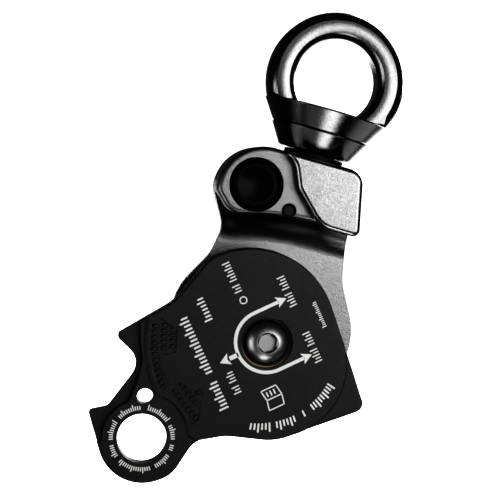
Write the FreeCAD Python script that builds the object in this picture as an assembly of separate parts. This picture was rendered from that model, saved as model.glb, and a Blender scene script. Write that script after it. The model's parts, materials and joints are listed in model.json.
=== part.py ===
import FreeCAD, Part
import math
import os

# Swivel pulley block for rope up to 13 mm.
# Row frame, in millimetres: the origin is the centre of the swivel eye, +Z points up along
# the swivel axis, and the side that opens faces -Y. Outlines are given as (x, z) from the
# axle, because the plates and the head are laid out around it, and point() moves them.
# The side plate stands open by PLATE_OPEN_DEG at rest.

# ---- driving dimensions -------------------------------------------------------------
ROPE_D = 13.0
TREAD_R = 14.0
AXLE_DROP = 63.5
PLATE_OPEN_DEG = 124.2

# depths along Y, front negative
PLATE_GAP_HALF = 7.8
BACK_Y = 12.3
BOSS_Y = -7.8
PLATE_IN_Y = -8.1
FLANGE_Y = -9.9
SLOT_Y = -10.1
PLATE_OUT_Y = -12.1
COVER_Y = -12.9

# swivel eye and collar, Z from the eye's centre
EYE_OUT_R = 16.4
EYE_IN_R = 9.95
EYE_FACE_OUT_R = 14.35
EYE_FACE_IN_R = 11.4
EYE_HALF_DEPTH = 5.6
EYE_CROWN = 0.15
EYE_RIM_SLOPE_DEG = 28.0
EYE_FOOT_R = 0.7
EYE_CORNER_Z = -4.6
COLLAR_TOP_Z = -7.4
COLLAR_TOP_R = 15.0
COLLAR_RIM = 0.35
COLLAR_SPLIT_Z = -12.6
COLLAR_SPLIT_R = 12.0
COLLAR_BASE_Z = -17.9
COLLAR_BASE_R = 9.1
CAP_STEP = 0.15
CAP_SPIGOT_R = 9.6
CAP_SPIGOT_TOP_Z = -10.6
RACE_POCKET_R = 8.0
RACE_FLOOR_Z = -15.3
RACE_TOP_Z = -14.4
SWIVEL_BALL_R = 1.03
SWIVEL_BALL_PITCH_R = 6.5
SWIVEL_BALL_COUNT = 16
POST_R = 5.0
POST_FLANGE_R = 7.7
POST_FLANGE_Z = -12.3
POST_TOP_Z = -10.1
POST_CAVITY_Z = -9.9
POST_DEPTH = 11.5
NECK_WASHER_R = 7.2
LOCK_PIN_R = 1.25

# head, from the axle
HEAD_TOP = 44.2
LOCK_PIN_AT = (0.0, HEAD_TOP - POST_DEPTH / 2)
LOCK_PIN_FRONT_Y = -6.5
ROPE_WALL_Z = 29.9
ROPE_WALL_FILLET = 7.0
CHEEK_EDGE_R = 1.1
BOSS_EDGE_R = 1.2
BACK_EDGE_R = 1.6
SLOT_R = 35.2

# lock button and detent pin, centres from the axle
BUTTON_AT = (-12.0, 34.7)
BUTTON_BORE_R = 6.4
BUTTON_BORE_END_Y = 8.8
BUTTON_NOSE_R = 5.6
BUTTON_SKIRT_R = 6.32
BUTTON_SKIRT_Y = -2.7
BUTTON_FACE_Y = -6.9
BUTTON_END_Y = 5.6
BUTTON_TRAVEL = 5.1
BUTTON_PIN_R = 1.0
BUTTON_PIN_Y = -1.5
BUTTON_PIN_OFFSET = 5.7
DETENT_AT = (-2.9, 30.85)
DETENT_BORE_R = 1.75
DETENT_BORE_END_Y = 2.6
DETENT_R = 1.66
DETENT_Y = -7.6
DETENT_BACK_Y = -1.4

# side plate
PLATE_HOLE_R = 5.8
PLATE_SMALL_HOLE_R = 1.9
COVER_STEP_R = 28.4
COVER_RING_GAP_R = 10.8
FLANGE_RING_R = 9.1
PLATE_EDGE_R = 0.45
GRIP_DEPTH = 0.45

# axle, screw and bearing
AXLE_R = 5.0
AXLE_SLEEVE_R = 5.02
AXLE_HEAD_R = 8.0
AXLE_HEAD_Y = 10.3
AXLE_END_Y = -11.5
BUSH_R = 6.0
BUSH_FLANGE_R = 8.0
BUSH_BORE_R = 5.05
BUSH_END_Y = -7.9
BUSH_FLANGE_Y = -8.85
SCREW_R = 3.0
SCREW_HEAD_R = 5.25
SCREW_HEAD_H = 3.3
SCREW_SOCKET_AF = 4.0
SCREW_SEAT_R = 5.85
SCREW_SEAT_Y = -11.2
SHEAVE_R = 17.0
SHEAVE_HALF_W = 7.2
BEARING_OUT_R = 9.5
BEARING_HALF_W = 3.5
BEARING_BALL_R = 1.17
BEARING_PITCH_R = 7.25
BEARING_LAND_OUT_R = 8.25
BEARING_LAND_IN_R = 6.25
BEARING_BALL_COUNT = 10

# clearance of a pressed or screwed fit, on the radius
FIT = 0.03

FAR = 60.0
UP = FreeCAD.Vector(0, 0, 1)
REAR = FreeCAD.Vector(0, 1, 0)


# ---- helpers ------------------------------------------------------------------------
def point(x, z, y=0.0):
    """A point given from the axle."""
    return FreeCAD.Vector(x, y, z - AXLE_DROP)


def cylinder_y(radius, y_from, y_to, at=(0.0, 0.0)):
    return Part.makeCylinder(radius, y_to - y_from, point(at[0], at[1], y_from), REAR)


def tube_y(outer, inner, y_from, y_to, at=(0.0, 0.0)):
    return cylinder_y(outer, y_from, y_to, at).cut(cylinder_y(inner, y_from, y_to, at))


def cylinder_z(radius, z_from, z_to, x=0.0, y=0.0):
    return Part.makeCylinder(radius, z_to - z_from, FreeCAD.Vector(x, y, z_from), UP)


def tube_z(outer, inner, z_from, z_to):
    return cylinder_z(outer, z_from, z_to).cut(cylinder_z(inner, z_from, z_to))


def closed_face(points):
    return Part.Face(Part.makePolygon(list(points) + [points[0]]))


def turned_z(profile):
    """Solid of revolution about the swivel axis from (radius, z) corners."""
    face = closed_face([FreeCAD.Vector(r, 0, z) for r, z in profile])
    return face.revolve(FreeCAD.Vector(0, 0, 0), UP, 360)


def turned_y(profile, at=(0.0, 0.0)):
    """Solid of revolution about an axis along Y from (radius, y) corners."""
    face = closed_face([point(at[0] + r, at[1], y) for r, y in profile])
    return face.revolve(point(*at), REAR, 360)


def rounded_face(corners, y):
    """Flat face at depth y from (x, z, corner radius), listed in order round the outline."""
    count = len(corners)
    places = [point(x, z, y) for x, z, radius in corners]
    starts, ends, middles = [], [], []
    for i, (x, z, radius) in enumerate(corners):
        here = places[i]
        to_last = (places[i - 1] - here).normalize()
        to_next = (places[(i + 1) % count] - here).normalize()
        half = to_last.getAngle(to_next) / 2
        reach = radius / math.tan(half)
        bisector = (to_last + to_next).normalize()
        starts.append(here + to_last * reach)
        ends.append(here + to_next * reach)
        middles.append(here + bisector * (radius / math.sin(half) - radius))
    edges = []
    for i in range(count):
        if corners[i][2] > 0:
            edges.append(Part.Arc(starts[i], middles[i], ends[i]).toShape())
        edges.append(Part.makeLine(ends[i], starts[(i + 1) % count]))
    return Part.Face(Part.Wire(edges))


def slab(corners, y_from, y_to):
    return rounded_face(corners, y_from).extrude(FreeCAD.Vector(0, y_to - y_from, 0))


def flat_edges(shape, y):
    """Edges that lie wholly at depth y."""
    found = []
    for edge in shape.Edges:
        box = edge.BoundBox
        if abs(box.YMin - y) < 1e-4 and abs(box.YMax - y) < 1e-4:
            found.append(edge)
    return found


def ball_ring_z(radius, pitch, count, z):
    balls = []
    for i in range(count):
        turn = 2 * math.pi * i / count
        centre = FreeCAD.Vector(pitch * math.cos(turn), pitch * math.sin(turn), z)
        balls.append(Part.makeSphere(radius, centre))
    return balls


def ball_ring_y(radius, pitch, count):
    balls = []
    for i in range(count):
        turn = 2 * math.pi * i / count
        balls.append(Part.makeSphere(radius, point(pitch * math.cos(turn), pitch * math.sin(turn))))
    return balls


def hexagon_y(across_flats, y_from, y_to):
    """Hexagonal bar along the axle, point up."""
    corner_r = across_flats / math.sqrt(3)
    corners = []
    for i in range(6):
        turn = math.radians(60 * i + 30)
        corners.append(point(corner_r * math.cos(turn), corner_r * math.sin(turn), y_from))
    return closed_face(corners).extrude(FreeCAD.Vector(0, y_to - y_from, 0))


def coil_spring(at, coil_r, wire_r, y_from, y_to, turns):
    """Round-wire compression spring along Y."""
    length = y_to - y_from - 2 * wire_r
    helix = Part.makeHelix(length / turns, length, coil_r)
    section = Part.Wire(Part.makeCircle(wire_r, FreeCAD.Vector(coil_r, 0, 0), REAR))
    spring = Part.Wire(helix.Edges).makePipeShell([section], True, True)
    spring.rotate(FreeCAD.Vector(0, 0, 0), FreeCAD.Vector(1, 0, 0), -90)
    spring.translate(point(at[0], at[1], y_from + wire_r))
    return spring


# ---- swivel -------------------------------------------------------------------------
def rim_arc(face_r, wall_r, side):
    """Rim of the eye from a face's edge to the wall, as (radius, y) on the plane z = 0."""
    slope = math.radians(EYE_RIM_SLOPE_DEG)
    outward = math.copysign(1, wall_r - face_r)
    rim_r = abs(wall_r - face_r) / (1 - math.sin(slope))
    centre_r = wall_r - outward * rim_r
    centre_y = EYE_HALF_DEPTH - EYE_CROWN - rim_r * math.cos(slope)
    places = []
    for turn in (slope, (slope + math.pi / 2) / 2, math.pi / 2):
        places.append(FreeCAD.Vector(centre_r + outward * rim_r * math.sin(turn),
                                     side * (centre_y + rim_r * math.cos(turn)), 0))
    return Part.Arc(*places).toShape(), places[0], places[-1]


def eye_ring():
    """Ring with slightly domed faces, creased rims and rounded walls, down to the collar."""
    middle_r = (EYE_FACE_IN_R + EYE_FACE_OUT_R) / 2
    edges = []
    walls = []
    for side in (-1, 1):
        outer, outer_crease, outer_wall = rim_arc(EYE_FACE_OUT_R, EYE_OUT_R, side)
        inner, inner_crease, inner_wall = rim_arc(EYE_FACE_IN_R, EYE_IN_R, side)
        crown = FreeCAD.Vector(middle_r, side * EYE_HALF_DEPTH, 0)
        edges += [outer, inner, Part.Arc(outer_crease, crown, inner_crease).toShape()]
        walls.append((outer_wall, inner_wall))
    for front, rear in zip(*walls):
        edges.append(Part.makeLine(front, rear))
    section = Part.Wire(Part.__sortEdges__(edges))
    ring = Part.Face(section).revolve(FreeCAD.Vector(0, 0, 0), REAR, 360)
    keep_z = COLLAR_TOP_Z - 0.4
    below = Part.makeBox(2 * FAR, 2 * FAR, FAR, FreeCAD.Vector(-FAR, -FAR, keep_z - FAR))
    return ring.cut(below)


def eye_corner(side):
    """Flat corner that carries the ring's faces out to the collar's rim; side is -1 or 1."""
    face_y = EYE_HALF_DEPTH - EYE_CROWN
    sunk_z = COLLAR_TOP_Z - COLLAR_RIM
    crease_x = math.sqrt(EYE_FACE_OUT_R ** 2 - EYE_CORNER_Z ** 2)
    rim_x = math.sqrt((COLLAR_TOP_R - COLLAR_RIM) ** 2 - face_y ** 2)
    inside_x = crease_x - 2.0
    corner = closed_face([FreeCAD.Vector(side * x, -face_y, z) for x, z in (
        (inside_x, sunk_z), (inside_x, EYE_CORNER_Z), (crease_x, EYE_CORNER_Z), (rim_x, sunk_z))])
    return corner.extrude(REAR * (2 * face_y))


def eye_foot(side):
    """Hollow fillet between one face of the ring and the collar's top; side is -1 or 1."""
    face_y = side * (EYE_HALF_DEPTH - EYE_CROWN)
    foot_y = face_y + side * EYE_FOOT_R
    inside_y = face_y - side * EYE_FOOT_R
    sunk_z = COLLAR_TOP_Z - COLLAR_RIM
    top_z = COLLAR_TOP_Z + EYE_FOOT_R
    lean = EYE_FOOT_R * math.sqrt(0.5)
    start = FreeCAD.Vector(-FAR, face_y, top_z)
    middle = FreeCAD.Vector(-FAR, foot_y - side * lean, top_z - lean)
    end = FreeCAD.Vector(-FAR, foot_y, COLLAR_TOP_Z)
    corners = [end, FreeCAD.Vector(-FAR, foot_y, sunk_z), FreeCAD.Vector(-FAR, inside_y, sunk_z),
               FreeCAD.Vector(-FAR, inside_y, top_z), start]
    edges = [Part.Arc(start, middle, end).toShape()]
    for corner, following in zip(corners, corners[1:]):
        edges.append(Part.makeLine(corner, following))
    foot = Part.Face(Part.Wire(edges)).extrude(FreeCAD.Vector(2 * FAR, 0, 0))
    foot = foot.common(cylinder_z(COLLAR_TOP_R - COLLAR_RIM, sunk_z, top_z))
    return foot.cut(cylinder_y(EYE_FACE_IN_R, -FAR, FAR, (0, AXLE_DROP)))


def swivel_eye():
    """Closed eye on the upper half of the conical collar."""
    collar = turned_z([(0, COLLAR_SPLIT_Z), (COLLAR_SPLIT_R - 0.3, COLLAR_SPLIT_Z),
                       (COLLAR_SPLIT_R, COLLAR_SPLIT_Z + 0.3),
                       (COLLAR_TOP_R, COLLAR_TOP_Z - COLLAR_RIM),
                       (COLLAR_TOP_R - COLLAR_RIM, COLLAR_TOP_Z), (0, COLLAR_TOP_Z)])
    eye = eye_ring().fuse([collar, eye_foot(-1), eye_foot(1), eye_corner(-1), eye_corner(1)])
    eye = eye.removeSplitter()
    eye = eye.cut(cylinder_z(CAP_SPIGOT_R + FIT, COLLAR_SPLIT_Z, CAP_SPIGOT_TOP_Z + 0.2))
    return eye.cut(cylinder_z(RACE_POCKET_R, COLLAR_SPLIT_Z, POST_CAVITY_Z))


def swivel_cap():
    """Lower half of the collar, screwed into the eye under the bearing."""
    top_r = COLLAR_SPLIT_R - CAP_STEP
    return turned_z([(POST_R + 0.4, COLLAR_BASE_Z), (COLLAR_BASE_R - 0.7, COLLAR_BASE_Z),
                     (COLLAR_BASE_R - 0.15, COLLAR_BASE_Z + 0.25),
                     (COLLAR_BASE_R + 0.2, COLLAR_BASE_Z + 0.8),
                     (top_r, COLLAR_SPLIT_Z - 0.3), (top_r - 0.3, COLLAR_SPLIT_Z),
                     (CAP_SPIGOT_R, COLLAR_SPLIT_Z), (CAP_SPIGOT_R, CAP_SPIGOT_TOP_Z),
                     (RACE_POCKET_R, CAP_SPIGOT_TOP_Z), (RACE_POCKET_R, RACE_FLOOR_Z),
                     (POST_R + 0.4, RACE_FLOOR_Z)])


def swivel_lower_race():
    return tube_z(RACE_POCKET_R - 0.05, POST_R + 0.45, RACE_FLOOR_Z, RACE_TOP_Z)


def swivel_ball_height():
    return (RACE_TOP_Z + POST_FLANGE_Z) / 2


def swivel_balls():
    return Part.makeCompound(ball_ring_z(SWIVEL_BALL_R, SWIVEL_BALL_PITCH_R, SWIVEL_BALL_COUNT,
                                         swivel_ball_height()))


def swivel_ball_cage():
    middle = swivel_ball_height()
    cage = tube_z(RACE_POCKET_R - 0.2, POST_R + 0.2, middle - 0.4, middle + 0.4)
    for hole in ball_ring_z(SWIVEL_BALL_R + 0.03, SWIVEL_BALL_PITCH_R, SWIVEL_BALL_COUNT, middle):
        cage = cage.cut(hole)
    return cage


def swivel_post():
    """Flanged stud that carries the block under the eye."""
    end_z = HEAD_TOP - AXLE_DROP - POST_DEPTH
    post = turned_z([(0, end_z), (POST_R - 0.8, end_z), (POST_R, end_z + 0.8),
                     (POST_R, POST_FLANGE_Z), (POST_FLANGE_R, POST_FLANGE_Z),
                     (POST_FLANGE_R, POST_TOP_Z - 0.4), (POST_FLANGE_R - 0.4, POST_TOP_Z),
                     (0, POST_TOP_Z)])
    return post.cut(lock_pin_bar(LOCK_PIN_R + FIT))


def neck_washer():
    head_z = HEAD_TOP - AXLE_DROP
    return tube_z(NECK_WASHER_R, POST_R + 0.1, head_z, COLLAR_BASE_Z - 0.2)


def lock_pin_bar(radius):
    """Cross bar through the post from the back of the head."""
    return cylinder_y(radius, LOCK_PIN_FRONT_Y, BACK_Y - 0.6, LOCK_PIN_AT)


def swivel_lock_pin():
    """Rolled spring pin that keeps the post from unscrewing."""
    pin = lock_pin_bar(LOCK_PIN_R)
    return pin.cut(lock_pin_bar(LOCK_PIN_R - 0.5))


# ---- head and fixed plate -----------------------------------------------------------
HEAD_OUTLINE = [
    (22.4, -16.9, 16.5), (22.4, 6.5, 16), (16.4, 17.4, 14), (10.8, HEAD_TOP, 3),
    (-20.8, HEAD_TOP, 11.0), (-20.8, 31.2, 6.0), (-15.8, 22.8, 6), (-16.8, 16.0, 12),
    (-22.4, 5.6, 14), (-22.4, -16.9, 16.5)]

CHEEK_OUTLINE = [
    (14.4, 29.1, 1.5), (11.1, HEAD_TOP, 3.5), (-8.2, HEAD_TOP, 0.5), (-4.8, 41.4, 4),
    (-2.7, 36.4, 4), (4.6, 29.2, 7)]

ROPE_SPACE_OUTLINE = [
    (FAR, ROPE_WALL_Z, 0), (-3.5, ROPE_WALL_Z, 69), (-16.0, 26.35, 5), (-22.0, 32.4, 0),
    (-FAR, 32.4, 0), (-FAR, -FAR, 0), (FAR, -FAR, 0)]

SLOT_OUTLINE = [
    (5.5, 28.0, 0), (-1.5, 40.1, 1), (-1.5, FAR, 0), (-FAR, FAR, 0), (-FAR, 20.0, 0)]


def rope_space():
    """Room between the plates, under a nearly straight wall that blends into the fixed plate."""
    space = slab(ROPE_SPACE_OUTLINE, -FAR, PLATE_GAP_HALF)
    foot = []
    for edge in flat_edges(space, PLATE_GAP_HALF):
        box = edge.BoundBox
        if box.ZMin + AXLE_DROP > 0 and box.XMax > -FAR / 2:
            foot.append(edge)
    return space.makeFillet(ROPE_WALL_FILLET, foot)


def cheek():
    """Raised cheek whose lip overhangs the slot that takes the side plate's flange."""
    block = slab(CHEEK_OUTLINE, PLATE_OUT_Y, BOSS_Y)
    lip = block.makeFillet(CHEEK_EDGE_R, flat_edges(block, PLATE_OUT_Y))
    lip = lip.cut(cylinder_y(SLOT_R, SLOT_Y, BOSS_Y))
    return lip.cut(slab(SLOT_OUTLINE, SLOT_Y, BOSS_Y))


def block_body():
    """Head and fixed side plate, machined in one piece."""
    body = slab(HEAD_OUTLINE, BOSS_Y, BACK_Y)
    body = body.makeFillet(BACK_EDGE_R, flat_edges(body, BACK_Y))
    body = body.cut(rope_space())
    boss_rim = flat_edges(body, BOSS_Y)
    body = body.makeFillet(BOSS_EDGE_R, boss_rim)
    body = body.fuse(cheek()).removeSplitter()
    body = body.cut(cylinder_y(BUTTON_BORE_R, -FAR, BUTTON_BORE_END_Y, BUTTON_AT))
    body = body.cut(cylinder_y(DETENT_BORE_R, -FAR, DETENT_BORE_END_Y, DETENT_AT))
    body = body.cut(cylinder_y(AXLE_R + 0.02, -FAR, FAR))
    body = body.cut(cylinder_y(AXLE_HEAD_R + 0.02, AXLE_HEAD_Y, FAR))
    head_z = HEAD_TOP - AXLE_DROP
    body = body.cut(cylinder_z(POST_R + FIT, head_z - POST_DEPTH - 0.5, head_z + 1))
    body = body.cut(cylinder_y(LOCK_PIN_R + FIT, LOCK_PIN_FRONT_Y, FAR, LOCK_PIN_AT))
    return body.cut(button_pin_bar(FIT))


# ---- side plate ---------------------------------------------------------------------
PLATE_OUTLINE = [
    (23.0, -17.05, 20), (23.0, 6.1, 9), (16.0, 17.3, 14), (12.9, 33.0, 1.2), (4.9, 28.9, 4.5),
    (-2.5, 39.9, 2), (-1.9, 44.5, 0.8), (-22.6, 45.5, 10.5), (-22.6, 31.0, 8.0),
    (-16.5, 23.3, 6), (-17.7, 16.0, 12), (-22.7, 5.6, 14), (-22.6, -17.05, 2.2)]

COVER_OUTLINE = [
    (23.0, -17.05, 20), (23.0, 6.1, 9), (16.0, 17.3, 14), (12.9, 33.0, 0), (-16.5, 33.0, 0),
    (-16.5, 23.3, 0), (-17.7, 16.0, 12), (-22.7, 5.6, 14), (-22.7, -17.05, 17)]

FLANGE_OUTLINE = [
    (20.0, 24.5, 0), (9.2, 27.6, 0), (4.8, 28.7, 4), (0.9, 31.3, 4), (-9.4, 40.6, 0),
    (-9.4, FAR, 0), (FAR, FAR, 0), (FAR, 24.5, 0)]


def grip_pocket():
    """Shallow bracket-shaped pocket under the step, where the thumb pushes."""
    y_from = COVER_Y - 1.0
    y_to = COVER_Y + GRIP_DEPTH
    band = tube_y(27.3, 24.8, y_from, y_to).cut(cylinder_y(11.6, y_from, y_to, BUTTON_AT))
    blocks = slab([(13.3, 27.0, 0), (5.6, 27.0, 0), (4.6, 20.6, 0.8), (9.4, 18.8, 0.8),
                   (13.3, 21.6, 0.8)], y_from, y_to)
    blocks = blocks.fuse(slab([(-2.0, 27.0, 0), (-12.6, 27.0, 0), (-12.2, 20.9, 0.8),
                               (-5.6, 17.4, 0.8), (-2.4, 22.0, 0.8)], y_from, y_to))
    sides = slab([(13.3, FAR, 0), (-12.4, FAR, 0), (-12.4, 10.0, 0), (13.3, 10.0, 0)], y_from, y_to)
    blocks = blocks.common(cylinder_y(27.3, y_from, y_to))
    blocks = blocks.cut(cylinder_y(11.6, y_from, y_to, BUTTON_AT))
    return band.common(sides).fuse(blocks)


def side_plate():
    """Opening side plate: raised cover over the sheave, tongue, lock ring and thin flange."""
    plate = slab(PLATE_OUTLINE, PLATE_OUT_Y, PLATE_IN_Y)
    plate = plate.makeFillet(PLATE_EDGE_R, flat_edges(plate, PLATE_OUT_Y))
    cover = slab(COVER_OUTLINE, COVER_Y, PLATE_IN_Y - 0.5)
    cover = cover.common(cylinder_y(COVER_STEP_R, COVER_Y, PLATE_IN_Y))
    cover = cover.cut(cylinder_y(COVER_RING_GAP_R, COVER_Y, PLATE_IN_Y, BUTTON_AT))
    cover = cover.makeFillet(PLATE_EDGE_R, flat_edges(cover, COVER_Y))
    plate = plate.fuse(cover).removeSplitter()
    thin = slab(FLANGE_OUTLINE, -FAR, FLANGE_Y)
    thin = thin.cut(cylinder_y(FLANGE_RING_R, -FAR, FLANGE_Y, BUTTON_AT))
    thin = thin.cut(cylinder_y(COVER_STEP_R + 0.4, -FAR, FLANGE_Y))
    plate = plate.cut(thin)
    plate = plate.cut(cylinder_y(PLATE_HOLE_R, -FAR, FAR, BUTTON_AT))
    plate = plate.cut(cylinder_y(PLATE_SMALL_HOLE_R, -FAR, FAR, DETENT_AT))
    plate = plate.cut(cylinder_y(BUSH_R, -FAR, FAR))
    plate = plate.cut(cylinder_y(BUSH_FLANGE_R, BUSH_FLANGE_Y, FAR))
    plate = plate.cut(cylinder_y(SCREW_SEAT_R, -FAR, SCREW_SEAT_Y))
    plate = plate.cut(grip_pocket())
    plate.rotate(point(0, 0), REAR, -PLATE_OPEN_DEG)
    return plate


def plate_bush():
    """Flanged bearing bush pressed into the side plate."""
    return turned_y([(BUSH_BORE_R, SCREW_SEAT_Y), (BUSH_R, SCREW_SEAT_Y), (BUSH_R, BUSH_FLANGE_Y),
                     (BUSH_FLANGE_R, BUSH_FLANGE_Y), (BUSH_FLANGE_R, BUSH_END_Y),
                     (BUSH_BORE_R, BUSH_END_Y)])


def plate_wave_washer():
    """Friction washer between the side plate and the screw head."""
    gap = 0.05
    thickness = 0.2
    front_y = SCREW_SEAT_Y - gap - thickness
    return tube_y(SCREW_SEAT_R - gap, AXLE_R + 2 * gap, front_y, front_y + thickness)


# ---- axle and sheave ----------------------------------------------------------------
def axle():
    """Shaft with a wide rear head, a key socket in the back and a tapped hole in the front."""
    edge = 0.6
    hole_end_y = 4.0
    socket_af = 5.0
    socket_depth = 3.0
    axle_bar = turned_y([(0, AXLE_END_Y), (AXLE_R, AXLE_END_Y), (AXLE_R, AXLE_HEAD_Y),
                         (AXLE_HEAD_R, AXLE_HEAD_Y), (AXLE_HEAD_R, BACK_Y - edge),
                         (AXLE_HEAD_R - edge, BACK_Y), (0, BACK_Y)])
    axle_bar = axle_bar.cut(cylinder_y(SCREW_R, AXLE_END_Y, hole_end_y))
    return axle_bar.cut(hexagon_y(socket_af, BACK_Y - socket_depth, BACK_Y))


def axle_screw():
    """Button-head socket screw in the front of the axle."""
    top_y = AXLE_END_Y - SCREW_HEAD_H
    flat_r = 2.6
    rim_h = 0.4
    bulge_r = 4.3
    bulge_h = 2.35
    shank_r = SCREW_R - 0.05
    tip_y = 3.0
    socket_depth = 2.1
    chamfer_h = 0.5
    rim = point(SCREW_HEAD_R, 0, AXLE_END_Y - rim_h)
    crown = point(flat_r, 0, top_y)
    bulge = point(bulge_r, 0, AXLE_END_Y - bulge_h)
    edges = [Part.makeLine(point(0, 0, top_y), crown), Part.Arc(crown, bulge, rim).toShape()]
    corners = [rim, point(SCREW_HEAD_R, 0, AXLE_END_Y), point(shank_r, 0, AXLE_END_Y),
               point(shank_r, 0, tip_y), point(0, 0, tip_y), point(0, 0, top_y)]
    for start, end in zip(corners, corners[1:]):
        edges.append(Part.makeLine(start, end))
    screw = Part.Face(Part.Wire(edges)).revolve(point(0, 0), REAR, 360)
    screw = screw.cut(hexagon_y(SCREW_SOCKET_AF, top_y, top_y + socket_depth))
    chamfer_r = SCREW_SOCKET_AF / math.sqrt(3) + 0.15
    chamfer = Part.makeCone(chamfer_r, chamfer_r - chamfer_h, chamfer_h, point(0, 0, top_y), REAR)
    return screw.cut(chamfer)


def sheave():
    """Grooved wheel with a bearing seat, a shoulder and a retaining-ring groove."""
    groove_r = ROPE_D / 2 + 0.1
    rim_half = math.sqrt(groove_r ** 2 - (TREAD_R + groove_r - SHEAVE_R) ** 2)
    seat_y = BEARING_HALF_W
    edge = 0.5
    bore_r = BEARING_OUT_R - 0.6
    snap_groove_r = BEARING_OUT_R + 0.55
    snap_groove_w = 1.0
    recess_depth = 0.7
    recess_out_r = SHEAVE_R - 1.6
    recess_in_r = BEARING_OUT_R + 1.8
    wheel = turned_y([(bore_r, -SHEAVE_HALF_W), (SHEAVE_R - edge, -SHEAVE_HALF_W),
                      (SHEAVE_R, -SHEAVE_HALF_W + edge), (SHEAVE_R, SHEAVE_HALF_W - edge),
                      (SHEAVE_R - edge, SHEAVE_HALF_W), (BEARING_OUT_R, SHEAVE_HALF_W),
                      (BEARING_OUT_R, -seat_y), (bore_r, -seat_y)])
    groove = Part.makeTorus(TREAD_R + groove_r, groove_r, point(0, 0), REAR)
    wheel = wheel.cut(groove)
    wheel = wheel.cut(tube_y(SHEAVE_R + 1, TREAD_R + groove_r - 3, -rim_half, rim_half))
    wheel = wheel.cut(tube_y(snap_groove_r, bore_r, seat_y, seat_y + snap_groove_w))
    for side in (-1, 1):
        face_y = side * SHEAVE_HALF_W
        low, high = sorted((face_y, face_y - side * recess_depth))
        wheel = wheel.cut(tube_y(recess_out_r, recess_in_r, low, high))
    return wheel


def ball_track():
    return Part.makeTorus(BEARING_PITCH_R, BEARING_BALL_R + FIT, point(0, 0), REAR)


def bearing_outer_race():
    race = tube_y(BEARING_OUT_R, BEARING_LAND_OUT_R, -BEARING_HALF_W, BEARING_HALF_W)
    return race.cut(ball_track())


def bearing_inner_race():
    race = tube_y(BEARING_LAND_IN_R, AXLE_SLEEVE_R, -BEARING_HALF_W, BEARING_HALF_W)
    return race.cut(ball_track())


def bearing_balls():
    return Part.makeCompound(ball_ring_y(BEARING_BALL_R, BEARING_PITCH_R, BEARING_BALL_COUNT))


def bearing_cage():
    half_thick = 0.5
    half_w = 1.7
    cage = tube_y(BEARING_PITCH_R + half_thick, BEARING_PITCH_R - half_thick, -half_w, half_w)
    for hole in ball_ring_y(BEARING_BALL_R + FIT, BEARING_PITCH_R, BEARING_BALL_COUNT):
        cage = cage.cut(hole)
    return cage


def bearing_shields():
    """Thin discs that close the bearing on both sides, held by the outer race."""
    inset = 0.2
    thickness = 0.3
    in_r = BEARING_LAND_IN_R + 0.15
    shields = []
    for y_from in (-BEARING_HALF_W + inset, BEARING_HALF_W - inset - thickness):
        shields.append(tube_y(BEARING_LAND_OUT_R - 0.02, in_r, y_from, y_from + thickness))
    return Part.makeCompound(shields)


def bearing_retaining_ring():
    """Internal retaining ring with its gap at the bottom."""
    near_y = BEARING_HALF_W + 0.05
    ring = tube_y(BEARING_OUT_R + 0.5, BEARING_OUT_R - 0.9, near_y, near_y + 0.9)
    gap_w = 3.0
    reach = 4.0
    gap_at = point(-gap_w / 2, -BEARING_OUT_R - reach / 2, BEARING_HALF_W - reach / 4)
    return ring.cut(Part.makeBox(gap_w, reach, reach, gap_at))


def sheave_spacers():
    """Sleeves between the bearing and the plates."""
    sleeve_r = BEARING_LAND_IN_R - 0.05
    rear = tube_y(sleeve_r, AXLE_SLEEVE_R, BEARING_HALF_W, PLATE_GAP_HALF)
    front = tube_y(sleeve_r, AXLE_SLEEVE_R, -PLATE_GAP_HALF, -BEARING_HALF_W)
    return Part.makeCompound([front, rear])


# ---- lock button and detent ---------------------------------------------------------
def button_pin_bar(clearance):
    """Cross pin beside the button, from the top of the head."""
    low_z = BUTTON_AT[1] - AXLE_DROP - 4.0
    high_z = HEAD_TOP - AXLE_DROP - 0.5
    return cylinder_z(BUTTON_PIN_R + clearance, low_z, high_z, BUTTON_AT[0] + BUTTON_PIN_OFFSET,
                      BUTTON_PIN_Y)


def lock_button():
    """Sprung button, pressed just below the boss, with a dished face and a notch for its pin."""
    edge = 0.7
    button = turned_y([(0, BUTTON_FACE_Y), (BUTTON_NOSE_R - edge, BUTTON_FACE_Y),
                       (BUTTON_NOSE_R - edge * 0.3, BUTTON_FACE_Y + edge * 0.3),
                       (BUTTON_NOSE_R, BUTTON_FACE_Y + edge), (BUTTON_NOSE_R, BUTTON_SKIRT_Y),
                       (BUTTON_SKIRT_R, BUTTON_SKIRT_Y), (BUTTON_SKIRT_R, BUTTON_END_Y),
                       (4.5, BUTTON_END_Y), (4.5, 0.0), (0, 0.0)], BUTTON_AT)
    dish_r = 18.0
    dish_depth = 0.5
    dish_centre = point(BUTTON_AT[0], BUTTON_AT[1], BUTTON_FACE_Y + dish_depth - dish_r)
    button = button.cut(Part.makeSphere(dish_r, dish_centre))
    notch_x = BUTTON_AT[0] + BUTTON_PIN_OFFSET - BUTTON_PIN_R - 0.1
    notch = Part.makeBox(4.0, BUTTON_TRAVEL + 2 * BUTTON_PIN_R + 0.2, 20.0,
                         point(notch_x, BUTTON_AT[1] - 10.0, BUTTON_PIN_Y - BUTTON_PIN_R - 0.1))
    return button.cut(notch)


def button_spring():
    return coil_spring(BUTTON_AT, 3.6, 0.4, 0.1, BUTTON_BORE_END_Y, 5)


def button_pin():
    return button_pin_bar(0.0)


def detent_pin():
    """Small sprung pin that drops into the side plate's small hole."""
    return turned_y([(0, DETENT_Y), (DETENT_R - 0.6, DETENT_Y), (DETENT_R, DETENT_Y + 0.6),
                     (DETENT_R, DETENT_BACK_Y), (0, DETENT_BACK_Y)], DETENT_AT)


def detent_spring():
    return coil_spring(DETENT_AT, 1.15, 0.2, DETENT_BACK_Y + 0.05, DETENT_BORE_END_Y - 0.05, 5)


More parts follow.
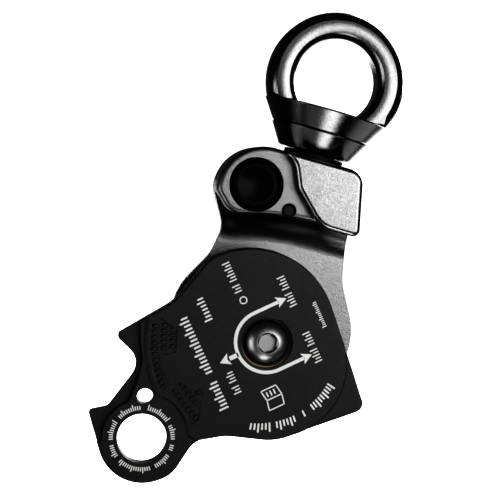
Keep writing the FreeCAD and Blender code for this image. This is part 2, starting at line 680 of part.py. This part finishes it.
PIECES = [
    swivel_eye, swivel_cap, swivel_lower_race, swivel_balls, swivel_ball_cage, swivel_post,
    swivel_lock_pin, neck_washer, block_body, side_plate, plate_bush, plate_wave_washer, axle,
    axle_screw, sheave, bearing_outer_race, bearing_inner_race, bearing_balls, bearing_cage,
    bearing_shields, bearing_retaining_ring, sheave_spacers, lock_button, button_spring,
    button_pin, detent_pin, detent_spring]

os.makedirs("parts", exist_ok=True)
for piece in PIECES:
    shape = piece()
    if not shape.isValid():
        print("not valid:", piece.__name__)
    print(piece.__name__, "solids", len(shape.Solids), "mm3", round(shape.Volume, 1))
    shape.exportStep(os.path.join("parts", piece.__name__ + ".step"))
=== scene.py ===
import json
import math

import bmesh
import bpy
from mathutils import Matrix, Vector

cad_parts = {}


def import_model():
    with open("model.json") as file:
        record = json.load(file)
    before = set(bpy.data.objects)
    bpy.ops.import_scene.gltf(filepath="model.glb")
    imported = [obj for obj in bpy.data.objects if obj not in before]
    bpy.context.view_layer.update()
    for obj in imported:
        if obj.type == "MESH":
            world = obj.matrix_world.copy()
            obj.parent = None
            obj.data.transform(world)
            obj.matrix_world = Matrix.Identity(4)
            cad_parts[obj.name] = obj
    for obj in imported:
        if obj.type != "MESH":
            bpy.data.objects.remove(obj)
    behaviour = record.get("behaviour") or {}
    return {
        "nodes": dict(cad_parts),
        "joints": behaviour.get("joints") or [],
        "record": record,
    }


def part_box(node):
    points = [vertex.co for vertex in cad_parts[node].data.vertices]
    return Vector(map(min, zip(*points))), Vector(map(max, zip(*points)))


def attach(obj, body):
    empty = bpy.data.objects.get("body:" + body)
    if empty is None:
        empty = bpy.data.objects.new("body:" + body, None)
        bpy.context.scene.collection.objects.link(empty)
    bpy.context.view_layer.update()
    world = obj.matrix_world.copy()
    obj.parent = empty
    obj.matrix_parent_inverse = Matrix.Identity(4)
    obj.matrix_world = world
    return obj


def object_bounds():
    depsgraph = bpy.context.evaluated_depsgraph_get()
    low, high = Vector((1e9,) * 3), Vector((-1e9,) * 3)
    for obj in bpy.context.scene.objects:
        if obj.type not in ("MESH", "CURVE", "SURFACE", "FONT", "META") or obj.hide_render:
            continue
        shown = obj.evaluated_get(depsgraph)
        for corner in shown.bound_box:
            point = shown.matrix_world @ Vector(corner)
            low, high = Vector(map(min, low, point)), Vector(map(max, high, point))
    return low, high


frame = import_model()
CAD_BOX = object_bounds()

# Swivel pulley block, seen from the front with its side plate swung open.
# Everything is in metres in the CAD frame: the origin is the centre of the eye, +Z points up
# along the swivel axis and the side that opens faces -Y. Marks and grip studs on the side
# plate are laid out in the closed plate's own (x, z) from the axle, then turned open.

MM = 0.001
JOINTS = {joint["name"]: joint for joint in frame["joints"]}
AXLE = Vector(JOINTS["plate_swing"]["pos_m"])
OPEN_ANGLE = math.radians(-JOINTS["plate_swing"]["range_deg"][0])
PLATE_TURN = Matrix.Translation(AXLE) @ Matrix.Rotation(-OPEN_ANGLE, 4, "Y")

COVER_STEP = 0.8 * MM
POCKET_DEPTH = 0.45 * MM
COVER_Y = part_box("side_plate")[0][1]
TONGUE_Y = COVER_Y + COVER_STEP
POCKET_Y = COVER_Y + POCKET_DEPTH
# Centre of the lock hole on the closed plate, in millimetres from the axle.
LOCK_HOLE = (-12.0, 34.7)

# ---- camera and light ---------------------------------------------------------------
# Angles in degrees, distances in metres, lens and sensor in millimetres.
CAMERA_AZ = -5.4
CAMERA_EL = 1.7
CAMERA_ROLL = 15.85
CAMERA_DISTANCE = 0.380
CAMERA_LENS = 114.9
CAMERA_SENSOR = 36.0
CAMERA_TARGET = AXLE + Vector((-9.1, 0, 19.6)) * MM
FLOOR_DROP = 0.030
FLOOR_SIZE = 8.0
SEEN_WHITE = 1.05
ROOM_FILL = 0.04


# ---- material helpers ---------------------------------------------------------------
BEVEL_SAMPLES = 6
ZONE_BLEND = 0.2 * MM


class Finish:
    """A material's nodes, with short calls for the parts that finishes share."""

    def __init__(self, name, color, roughness, metallic=0.0, ior=1.5, specular=0.5):
        self.material = bpy.data.materials.new(name)
        self.material.use_nodes = True
        self.nodes = self.material.node_tree.nodes
        self.links = self.material.node_tree.links
        self.shader = self.nodes["Principled BSDF"]
        self.shader.inputs["Base Color"].default_value = (*color, 1)
        self.shader.inputs["Roughness"].default_value = roughness
        self.shader.inputs["Metallic"].default_value = metallic
        self.shader.inputs["IOR"].default_value = ior
        self.shader.inputs["Specular IOR Level"].default_value = specular
        self.place = self.nodes.new("ShaderNodeTexCoord").outputs["Object"]

    def link(self, output, target):
        self.links.new(output, target)

    def noise(self, scale, detail=4.0, roughness=0.55, stretch=None):
        """Noise over object space, at scale blobs to the metre."""
        source = self.place
        if stretch:
            mapping = self.nodes.new("ShaderNodeMapping")
            mapping.inputs["Scale"].default_value = stretch
            self.link(source, mapping.inputs["Vector"])
            source = mapping.outputs["Vector"]
        texture = self.nodes.new("ShaderNodeTexNoise")
        texture.inputs["Scale"].default_value = scale
        texture.inputs["Detail"].default_value = detail
        texture.inputs["Roughness"].default_value = roughness
        self.link(source, texture.inputs["Vector"])
        return texture.outputs["Fac"]

    def between(self, value, low, high, out_low=0.0, out_high=1.0):
        """Value rescaled from low..high to out_low..out_high, and clamped."""
        rescale = self.nodes.new("ShaderNodeMapRange")
        rescale.inputs["From Min"].default_value = low
        rescale.inputs["From Max"].default_value = high
        rescale.inputs["To Min"].default_value = out_low
        rescale.inputs["To Max"].default_value = out_high
        self.link(value, rescale.inputs["Value"])
        return rescale.outputs["Result"]

    def math(self, kind, first, second):
        node = self.nodes.new("ShaderNodeMath")
        node.operation = kind
        for socket, value in zip(node.inputs, (first, second)):
            if isinstance(value, (int, float)):
                socket.default_value = value
            else:
                self.link(value, socket)
        return node.outputs["Value"]

    def mix(self, factor, first, second):
        """Colour mix; a colour is a tuple or an output."""
        node = self.nodes.new("ShaderNodeMix")
        node.data_type = "RGBA"
        self.link(factor, node.inputs[0])
        for socket, value in ((node.inputs[6], first), (node.inputs[7], second)):
            if isinstance(value, tuple):
                socket.default_value = (*value, 1)
            else:
                self.link(value, socket)
        return node.outputs[2]

    def edge_mask(self, radius, low=0.02, high=0.25):
        """1 along convex and concave edges, 0 on flat ground."""
        bevel = self.nodes.new("ShaderNodeBevel")
        bevel.samples = BEVEL_SAMPLES
        bevel.inputs["Radius"].default_value = radius
        flat = self.nodes.new("ShaderNodeNewGeometry")
        dot = self.nodes.new("ShaderNodeVectorMath")
        dot.operation = "DOT_PRODUCT"
        self.link(bevel.outputs["Normal"], dot.inputs[0])
        self.link(flat.outputs["Normal"], dot.inputs[1])
        return self.between(self.math("SUBTRACT", 1.0, dot.outputs["Value"]), low, high)

    def depth_zones(self, zones):
        """Value by depth along Y: zones are (depth, value), front first, with short blends."""
        split = self.nodes.new("ShaderNodeSeparateXYZ")
        self.link(self.place, split.inputs[0])
        value = None
        for (depth, here), (deeper, there) in zip(zones, zones[1:]):
            middle = (depth + deeper) / 2
            step = self.between(split.outputs["Y"], middle - ZONE_BLEND, middle + ZONE_BLEND,
                                0.0, there - here)
            value = self.math("ADD", here if value is None else value, step)
        return value

    def color(self, output):
        self.link(output, self.shader.inputs["Base Color"])

    def roughness(self, output):
        self.link(output, self.shader.inputs["Roughness"])

    def reflection(self, output):
        self.link(output, self.shader.inputs["Specular IOR Level"])

    def bump(self, height, strength, distance, soften=0.0):
        """Bump from a height, over edges softened to a small radius."""
        node = self.nodes.new("ShaderNodeBump")
        node.inputs["Strength"].default_value = strength
        node.inputs["Distance"].default_value = distance
        self.link(height, node.inputs["Height"])
        if soften:
            bevel = self.nodes.new("ShaderNodeBevel")
            bevel.samples = BEVEL_SAMPLES
            bevel.inputs["Radius"].default_value = soften
            self.link(bevel.outputs["Normal"], node.inputs["Normal"])
        self.link(node.outputs["Normal"], self.shader.inputs["Normal"])


def shaded(color, factor):
    """The colour made lighter or darker."""
    return tuple(channel * factor for channel in color)


def anodised(name, color, wear_and_highlight_color, roughness, spread, grain, soften, specular=0.5, zones=None):
    """Black anodised aluminium: fine blasted grain, faint handling marks, and edges lightened in
    patches, which is partly wear and partly a painted edge highlight.
    """
    oxide_ior = 1.58
    wear_and_highlight_radius = 0.22 * MM
    wear_and_highlight_strength = 0.35
    sheen_spread = 0.22
    finish = Finish(name, color, roughness, 0.0, oxide_ior, specular)
    mottle = finish.noise(160, 5)
    fine = finish.noise(5200, 3, 0.7)
    coarse = finish.noise(1700, 3, 0.6)
    scuffs = finish.noise(420, 6, 0.65, (1.0, 1.0, 0.22))
    blotches = finish.noise(2600, 4, 0.6)
    wear_and_highlight_spots = finish.between(finish.noise(900, 4), 0.50, 0.72)
    # Patchy lighter colour along edges: partly wear, partly a painted highlight where edge fillets
    # would catch the light.
    wear_and_highlight_mask = finish.math("MULTIPLY", finish.edge_mask(wear_and_highlight_radius), wear_and_highlight_spots)
    shade = finish.mix(finish.between(mottle, 0.3, 0.7), color, shaded(color, 1.35))
    finish.color(finish.mix(finish.math("MULTIPLY", wear_and_highlight_mask, wear_and_highlight_strength), shade, wear_and_highlight_color))
    if zones:
        handled = finish.between(scuffs, 0.35, 0.75, -spread, spread)
        finish.roughness(finish.math("ADD", finish.depth_zones(zones), handled))
    else:
        finish.roughness(finish.between(scuffs, 0.35, 0.75, roughness - spread, roughness + spread))
    finish.reflection(finish.between(blotches, 0.3, 0.7, specular * (1 - sheen_spread),
                                     specular * (1 + sheen_spread)))
    finish.bump(finish.math("ADD", fine, coarse), 0.6, grain, soften)
    return finish.material


def steel(name, color, roughness, brushed=(1.0, 1.0, 1.0)):
    """Bare steel with fine turning or rolling marks."""
    finish = Finish(name, color, roughness, 1.0)
    lines = finish.noise(2600, 4, 0.6, brushed)
    patches = finish.noise(240, 4)
    finish.color(finish.mix(finish.between(patches, 0.3, 0.75), color, shaded(color, 0.72)))
    finish.roughness(finish.between(lines, 0.3, 0.7, roughness - 0.07, roughness + 0.10))
    finish.bump(lines, 0.15, 0.02 * MM, 0.12 * MM)
    return finish.material


def bronze_finish():
    """Oiled sintered bronze, full of fine dark pores."""
    finish = Finish("sintered_bronze", (0.14, 0.09, 0.05), 0.42, 1.0)
    pore = (0.07, 0.045, 0.025)
    metal = (0.17, 0.11, 0.06)
    pores = finish.noise(5200, 5, 0.7)
    finish.color(finish.mix(finish.between(pores, 0.35, 0.6), pore, metal))
    finish.roughness(finish.between(pores, 0.3, 0.7, 0.34, 0.58))
    finish.bump(pores, 0.3, 0.03 * MM)
    return finish.material


def moulded_black():
    """Moulded nylon with a matt grain."""
    finish = Finish("moulded_black", (0.002, 0.002, 0.002), 0.5, specular=0.02)
    dark = (0.0015, 0.0015, 0.0015)
    light = (0.003, 0.003, 0.003)
    grain = finish.noise(3600, 4)
    finish.color(finish.mix(finish.noise(300), dark, light))
    finish.roughness(finish.between(grain, 0.3, 0.7, 0.42, 0.62))
    finish.bump(grain, 0.3, 0.03 * MM)
    return finish.material


def white_ink():
    """Printed grey-white ink with a fine speckle of the black below."""
    finish = Finish("white_ink", (0.24, 0.24, 0.235), 0.45)
    thin = (0.14, 0.14, 0.135)
    full = (0.25, 0.25, 0.245)
    speckle = finish.noise(5200, 4, 0.7)
    finish.color(finish.mix(finish.between(speckle, 0.26, 0.40), thin, full))
    finish.roughness(finish.between(speckle, 0.3, 0.7, 0.38, 0.55))
    finish.bump(speckle, 0.2, 0.02 * MM)
    return finish.material


BLACK = (0.0008, 0.0008, 0.0009)
PLATE_BLACK = (0.0030, 0.0030, 0.0031)
OXIDE_BLACK = (0.003, 0.003, 0.003)
WORN_BLACK = (0.06, 0.06, 0.06)
# Lighter edge colour for the side plate: partly wear, partly a painted highlight along its edges.
PLATE_WEAR_AND_HIGHLIGHT = (0.10, 0.10, 0.10)
# Roughness by depth: the front of the cheek, the boss, then the fixed plate.
BODY_ZONES = [(-12.1 * MM, 0.18), (-7.8 * MM, 0.34), (7.8 * MM, 0.26)]

MATERIALS = {
    "body_black": anodised("body_black", BLACK, WORN_BLACK, roughness=0.24, spread=0.03,
                           grain=0.042 * MM, soften=0.25 * MM, zones=BODY_ZONES),
    "eye_black": anodised("eye_black", BLACK, WORN_BLACK, roughness=0.20, spread=0.03,
                          grain=0.022 * MM, soften=0.16 * MM, specular=0.42),
    "plate_black": anodised("plate_black", PLATE_BLACK, PLATE_WEAR_AND_HIGHLIGHT, roughness=0.48, spread=0.04,
                            grain=0.02 * MM, soften=0.25 * MM, specular=0.065),
    "button_black": anodised("button_black", BLACK, (0.004, 0.004, 0.004), roughness=0.22,
                             spread=0.02, grain=0.006 * MM, soften=0.2 * MM, specular=0.008),
    "sheave_grey": steel("sheave_grey", (0.30, 0.30, 0.31), 0.34, (1, 0.2, 1)),
    "steel": steel("bright_steel", (0.34, 0.34, 0.33), 0.30),
    "dark_steel": anodised("black_oxide", OXIDE_BLACK, (0.02, 0.02, 0.02), roughness=0.40,
                           spread=0.04, grain=0.006 * MM, soften=0.15 * MM, specular=0.03),
    "bronze": bronze_finish(),
    "washer_black": moulded_black(),
}
SCREW_STEEL = steel("screw_steel", (0.10, 0.10, 0.10), 0.35)
INK = white_ink()


def dress_frame():
    """Gives each CAD node the detailed finish of its material slot."""
    slots = {part["node"]: part["material_slot"] for part in frame["record"]["subparts"]}
    for name, node in frame["nodes"].items():
        material = SCREW_STEEL if name == "axle_screw" else MATERIALS[slots[name]]
        for slot in node.material_slots:
            slot.material = material
        if not node.material_slots:
            node.data.materials.append(material)


# ---- marks on the side plate --------------------------------------------------------
MARK_TURN = math.radians(6.2)
MARK_RISE = 0.025 * MM
MARK_SINK = 0.010 * MM
SHORT_TICK = 0.72


def turned(point, angle):
    """A point turned anticlockwise, as seen from the front, about the axle."""
    x, z = point
    cos, sin = math.cos(angle), math.sin(angle)
    return (x * cos - z * sin, x * sin + z * cos)


def plate_piece(name, sheet, material, smooth=False):
    """Makes the sheet, laid out on the closed plate, a piece that rides on the open plate."""
    bmesh.ops.recalc_face_normals(sheet, faces=sheet.faces)
    mesh = bpy.data.meshes.new(name)
    sheet.to_mesh(mesh)
    sheet.free()
    for polygon in mesh.polygons:
        polygon.use_smooth = smooth
    mesh.transform(PLATE_TURN)
    mesh.materials.append(material)
    piece = bpy.data.objects.new(name, mesh)
    bpy.context.scene.collection.objects.link(piece)
    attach(piece, "side_plate")


def flat_marks(name, polygons, y, turn=0.0):
    """Thin raised ink, one closed prism to each (x, z) outline in millimetres."""
    sheet = bmesh.new()
    for polygon in polygons:
        corners = [turned(corner, turn) for corner in polygon]
        front = [sheet.verts.new((x * MM, y - MARK_RISE, z * MM)) for x, z in corners]
        sunk = [sheet.verts.new((x * MM, y + MARK_SINK, z * MM)) for x, z in corners]
        sheet.faces.new(front)
        sheet.faces.new(sunk[::-1])
        for i in range(len(corners)):
            after = (i + 1) % len(corners)
            sheet.faces.new((front[after], front[i], sunk[i], sunk[after]))
    plate_piece(name, sheet, INK)


def stroke(points, width):
    """Outline of a line of one width through the points."""
    left, right = [], []
    for i, point in enumerate(points):
        before = Vector(points[max(i - 1, 0)])
        after = Vector(points[min(i + 1, len(points) - 1)])
        along = (after - before).normalized()
        side = Vector((-along.y, along.x)) * width / 2
        left.append(tuple(Vector(point) + side))
        right.append(tuple(Vector(point) - side))
    return left + right[::-1]


def arc(radius, start, end, centre=(0.0, 0.0), steps=24):
    """Points on an arc; angles in degrees, anticlockwise from straight up."""
    points = []
    for i in range(steps + 1):
        angle = math.radians(start + (end - start) * i / steps)
        points.append((centre[0] - radius * math.sin(angle), centre[1] + radius * math.cos(angle)))
    return points


def arrow_head(tip, direction, length, width):
    """Barbed triangle that ends at tip."""
    notch_at = 0.78
    tip = Vector(tip)
    along = Vector(direction).normalized()
    side = Vector((-along.y, along.x)) * width / 2
    base = tip - along * length
    notch = tip - along * length * notch_at
    return [tuple(tip), tuple(base + side), tuple(notch), tuple(base - side)]


def block(centre, width, height, turn=0.0):
    """Small bar with cut corners, the stand-in for a printed character."""
    cut_share = 0.28
    cut = min(width, height) * cut_share
    half_w, half_h = width / 2, height / 2
    corners = [(-half_w + cut, -half_h), (half_w - cut, -half_h), (half_w, -half_h + cut),
               (half_w, half_h - cut), (half_w - cut, half_h), (-half_w + cut, half_h),
               (-half_w, half_h - cut), (-half_w, -half_h + cut)]
    placed = []
    for corner in corners:
        x, z = turned(corner, turn)
        placed.append((centre[0] + x, centre[1] + z))
    return placed


def tick_row(start, end, height, width, pitch, gaps=(), tall=3):
    """Plain ticks from start to end, every tall-th one full height, in place of a printed word."""
    first, last = Vector(start), Vector(end)
    along = (last - first).normalized()
    turn = math.atan2(along.y, along.x)
    up = Vector((-along.y, along.x))
    marks = []
    for i in range(int((last - first).length / pitch) + 1):
        if i in gaps:
            continue
        rise = height if i % tall == 0 else height * SHORT_TICK
        centre = first + along * (i * pitch) + up * (rise - height * SHORT_TICK) / 2
        marks.append(block(tuple(centre), width, rise, turn))
    return marks


def rope_path_marks():
    """Load diagram: the rope's U over the sheave with an arrow on each end and on top."""
    line = 0.82
    crown_line = 1.025
    reach = 7.25
    shift = 0.25
    arm_end = -6.3
    crown_tip = 12.0
    head = 2.5
    head_w = 2.7
    crown_head_w = 2.9
    overlap = 0.4
    path = [(shift + reach, arm_end)] + arc(reach, -90, 90, (shift, 0)) + [(shift - reach, arm_end)]
    marks = [stroke(path, line), stroke([(shift, reach), (shift, crown_tip - head)], crown_line)]
    for side in (-1, 1):
        tip = (shift + side * reach, arm_end - head + overlap)
        marks.append(arrow_head(tip, (0, -1), head, head_w))
    marks.append(arrow_head((shift, crown_tip), (0, 1), head, crown_head_w))
    flat_marks("rope_path_print", marks, COVER_Y, MARK_TURN)


def word_marks():
    """Rows of plain ticks where the object carries words and ratings."""
    ratings = [((-7.8, 10.8), (-2.3, 10.8), 3), ((5.3, -9.4), (12.8, -9.4), 5),
               ((-9.1, -9.4), (-1.4, -9.4), 5), ((13.6, 0.9), (20.9, 0.9), 3)]
    marks = tick_row((-9.8, 15.2), (13.2, 15.2), height=2.4, width=0.45, pitch=0.92, gaps=(8, 9))
    marks += tick_row((10.5, 9.9), (16.3, 9.9), height=2.0, width=0.40, pitch=0.88, tall=5)
    for start, end, gap in ratings:
        marks += tick_row(start, end, height=1.9, width=0.30, pitch=0.72, gaps=(gap,), tall=2)
    marks += tick_row((-2.3, -13.9), (4.2, -13.9), height=1.1, width=0.24, pitch=0.47, tall=4)
    flat_marks("word_ticks_print", marks, COVER_Y, MARK_TURN)


def model_arc_marks():
    """Ticks along the cover's edge where the object carries its name."""
    count = 27
    pitch = math.radians(2.55)
    first_angle = math.radians(127.0)
    first_radius = 17.2
    radius_gain = 2.0
    tall, short = 2.2, 1.6
    width = 0.42
    gaps = {9, 10, 12, 13, 20}
    marks = []
    for i in range(count):
        if i in gaps:
            continue
        angle = first_angle - pitch * i
        radius = first_radius + radius_gain * i / (count - 1)
        height = tall if i % 3 == 0 else short
        centre = turned((0, radius + height / 2), angle)
        marks.append(block(centre, width, height, angle))
    flat_marks("model_arc_print", marks, COVER_Y)


def lock_ring_marks():
    """Ring of fine radial ticks round the lock hole, open towards the detent's hole."""
    count = 84
    radius = 7.2
    tall, short = 1.45, 1.0
    width = 0.27
    open_towards = -113.0
    open_half = 8.0
    gaps = {11, 12, 20, 21, 25, 26, 35, 36, 52, 53, 60, 61, 71, 72}
    marks = []
    for i in range(count):
        if i in gaps:
            continue
        angle = math.radians(open_towards - open_half - (360 - 2 * open_half) * i / (count - 1))
        height = tall if i % 5 == 0 else short
        x, z = turned((0, radius + (height - short) / 2), angle)
        marks.append(block((LOCK_HOLE[0] + x, LOCK_HOLE[1] + z), width, height, angle))
    flat_marks("lock_ring_print", marks, TONGUE_Y)


def booklet_marks():
    """Open booklet with plain lines on its page."""
    left, middle, right = -14.8, -12.4, -9.9
    low, high = 2.3, 6.1
    fold = 0.45
    line = 0.3
    text_w, text_h = 1.3, 0.36
    outline = [(left, low), (middle, low - fold), (right, low), (right, high),
               (middle, high - fold), (left, high), (left, low)]
    marks = []
    for start, end in zip(outline, outline[1:]):
        marks.append(stroke([start, end], line))
    marks.append(stroke([(middle, low - fold), (middle, high - fold)], line))
    for row in (0.9, 1.8, 2.7):
        marks.append(block(((middle + right) / 2, low + row), text_w, text_h))
    flat_marks("booklet_print", marks, COVER_Y, MARK_TURN)


def ring_mark():
    """Small plain ring before the upper row of ticks, drawn in one stroke."""
    centre = (11.3, 0.9)
    radius = 0.8
    line = 0.29
    ring = stroke(arc(radius, 1, 359, centre, 40), line)
    flat_marks("ring_print", [ring], COVER_Y, MARK_TURN)


# ---- grip studs ---------------------------------------------------------------------
STUD_RINGS = [(1.0, 0.0), (0.93, 0.45), (0.72, 0.82), (0.38, 1.0)]
STUD_SIDES = 14
GRIP_AREAS = [
    [(13.0, 26.3), (5.9, 26.9), (5.0, 20.9), (9.3, 19.2), (12.9, 21.8)],
    [(-2.4, 26.9), (-12.0, 26.5), (-11.7, 21.2), (-5.7, 18.1), (-2.7, 22.1)],
    [(6.5, 27.0), (-3.0, 27.2), (-3.0, 24.7), (6.5, 24.2)]]


def inside(point, polygon):
    """True if the point is inside the polygon."""
    x, z = point
    hit = False
    for (x0, z0), (x1, z1) in zip(polygon, polygon[1:] + polygon[:1]):
        if (z0 > z) != (z1 > z) and x < (x1 - x0) * (z - z0) / (z1 - z0) + x0:
            hit = not hit
    return hit


def stud(sheet, centre, angle, long_half, wide_half, height):
    """Adds a low rounded stud to the sheet, standing off the pocket floor."""
    rows = []
    for scale, rise in STUD_RINGS:
        row = []
        for i in range(STUD_SIDES):
            turn = 2 * math.pi * i / STUD_SIDES
            around = (long_half * scale * math.cos(turn), wide_half * scale * math.sin(turn))
            x, z = turned(around, angle)
            row.append(sheet.verts.new(((centre[0] + x) * MM, POCKET_Y - height * rise * MM,
                                        (centre[1] + z) * MM)))
        rows.append(row)
    for low, high in zip(rows, rows[1:]):
        for i in range(STUD_SIDES):
            after = (i + 1) % STUD_SIDES
            sheet.faces.new((low[i], low[after], high[after], high[i]))
    sheet.faces.new(rows[-1])
    sheet.faces.new(rows[0][::-1])


def grip_studs():
    """Rows of low studs in the thumb pocket, concentric with the axle."""
    spacing = 1.32
    first_angle, sweep = -30.0, 62.0
    long_half, wide_half, height = 0.55, 0.85, 0.42
    clear_of_hole = 12.4
    sheet = bmesh.new()
    for row, radius in enumerate((26.2, 24.1, 22.0, 19.9)):
        pitch = math.degrees(spacing / radius)
        first = first_angle + (pitch / 2 if row % 2 else 0.0)
        for i in range(int(sweep / pitch)):
            angle = math.radians(first + pitch * i)
            centre = turned((0, radius), angle)
            from_hole = math.hypot(centre[0] - LOCK_HOLE[0], centre[1] - LOCK_HOLE[1])
            in_grip = any(inside(centre, area) for area in GRIP_AREAS)
            if from_hole >= clear_of_hole and in_grip:
                stud(sheet, centre, angle, long_half, wide_half, height)
    plate_piece("grip_studs", sheet, MATERIALS["plate_black"], smooth=True)


# ---- stage, lights and camera -------------------------------------------------------
def floor():
    """Plain pale floor that glows evenly and sends no light onto the object."""
    lowest = CAD_BOX[0][2]
    bpy.ops.mesh.primitive_plane_add(size=FLOOR_SIZE, location=(0, 0, lowest - FLOOR_DROP))
    plane = bpy.context.object
    plane.name = "studio_floor"
    finish = Finish("studio_floor", (0.92, 0.92, 0.92), 0.9)
    finish.color(finish.mix(finish.noise(3.0, 2), (0.91, 0.91, 0.91), (0.94, 0.94, 0.94)))
    finish.shader.inputs["Emission Color"].default_value = (1, 1, 1, 1)
    finish.shader.inputs["Emission Strength"].default_value = 1.0
    plane.data.materials.append(finish.material)
    plane.visible_glossy = False
    plane.visible_diffuse = False


def world():
    """White to the camera, dim grey to the object."""
    setting = bpy.data.worlds.new("studio")
    bpy.context.scene.world = setting
    setting.use_nodes = True
    nodes = setting.node_tree.nodes
    links = setting.node_tree.links
    nodes.clear()
    rays = nodes.new("ShaderNodeLightPath")
    seen = nodes.new("ShaderNodeBackground")
    seen.inputs["Color"].default_value = (1, 1, 1, 1)
    seen.inputs["Strength"].default_value = SEEN_WHITE
    fill = nodes.new("ShaderNodeBackground")
    fill.inputs["Color"].default_value = (0.95, 0.97, 1.0, 1)
    fill.inputs["Strength"].default_value = ROOM_FILL
    choose = nodes.new("ShaderNodeMixShader")
    output = nodes.new("ShaderNodeOutputWorld")
    links.new(rays.outputs["Is Camera Ray"], choose.inputs[0])
    links.new(fill.outputs[0], choose.inputs[1])
    links.new(seen.outputs[0], choose.inputs[2])
    links.new(choose.outputs[0], output.inputs["Surface"])


def softbox(name, place, aim, width, height, brightness):
    """Rectangular light aimed at a point; brightness is what a mirror would show of it."""
    data = bpy.data.lights.new(name, "AREA")
    data.shape = "RECTANGLE"
    data.size = width
    data.size_y = height
    data.energy = brightness * math.pi * width * height
    lamp = bpy.data.objects.new(name, data)
    lamp.location = place
    lamp.rotation_euler = (Vector(aim) - Vector(place)).to_track_quat("-Z", "Y").to_euler()
    bpy.context.scene.collection.objects.link(lamp)


def lights():
    """Softboxes in front, below, at the left and behind."""
    middle = (Vector(CAD_BOX[0]) + Vector(CAD_BOX[1])) / 2
    head = (0, 0, -0.012)
    softbox("key", (0.22, -0.50, 0.040), middle, 0.38, 0.23, 16.5)
    softbox("fill", (0.10, -0.52, 0.125), middle, 0.66, 0.31, 1.6)
    softbox("low_front", (0.060, -0.20, -0.42), head, 0.15, 0.22, 17.0)
    softbox("low_fill", (-0.12, -0.24, -0.36), head, 0.26, 0.26, 1.0)
    softbox("low_right", (0.40, 0.10, -0.36), head, 0.30, 0.30, 1.5)
    softbox("left", (-0.30, -0.15, -0.20), (-0.010, 0, -0.020), 0.20, 0.24, 11.0)
    softbox("back", (0.25, 0.55, 0.25), middle, 0.35, 0.35, 14.0)
    softbox("back_low", (0.20, 0.62, -0.22), middle, 0.60, 0.40, 3.0)


def camera():
    """Camera at the given angle and roll, aimed between the eye and the plate."""
    view = bpy.data.cameras.new("photo_view")
    view.lens = CAMERA_LENS
    view.sensor_width = CAMERA_SENSOR
    holder = bpy.data.objects.new("photo_view", view)
    azimuth, elevation = math.radians(CAMERA_AZ), math.radians(CAMERA_EL)
    back = Vector((math.sin(azimuth) * math.cos(elevation),
                   -math.cos(azimuth) * math.cos(elevation), math.sin(elevation)))
    aim = (-back).to_track_quat("-Z", "Y").to_matrix().to_4x4()
    roll = Matrix.Rotation(math.radians(CAMERA_ROLL), 4, "Z")
    holder.matrix_world = Matrix.Translation(CAMERA_TARGET + back * CAMERA_DISTANCE) @ aim @ roll
    bpy.context.scene.collection.objects.link(holder)
    bpy.context.scene.camera = holder


# ---- build --------------------------------------------------------------------------
dress_frame()
rope_path_marks()
word_marks()
model_arc_marks()
lock_ring_marks()
booklet_marks()
ring_mark()
grip_studs()
floor()
world()
lights()
camera()
bpy.context.scene.view_settings.view_transform = "Standard"
bpy.context.scene.view_settings.look = "High Contrast"
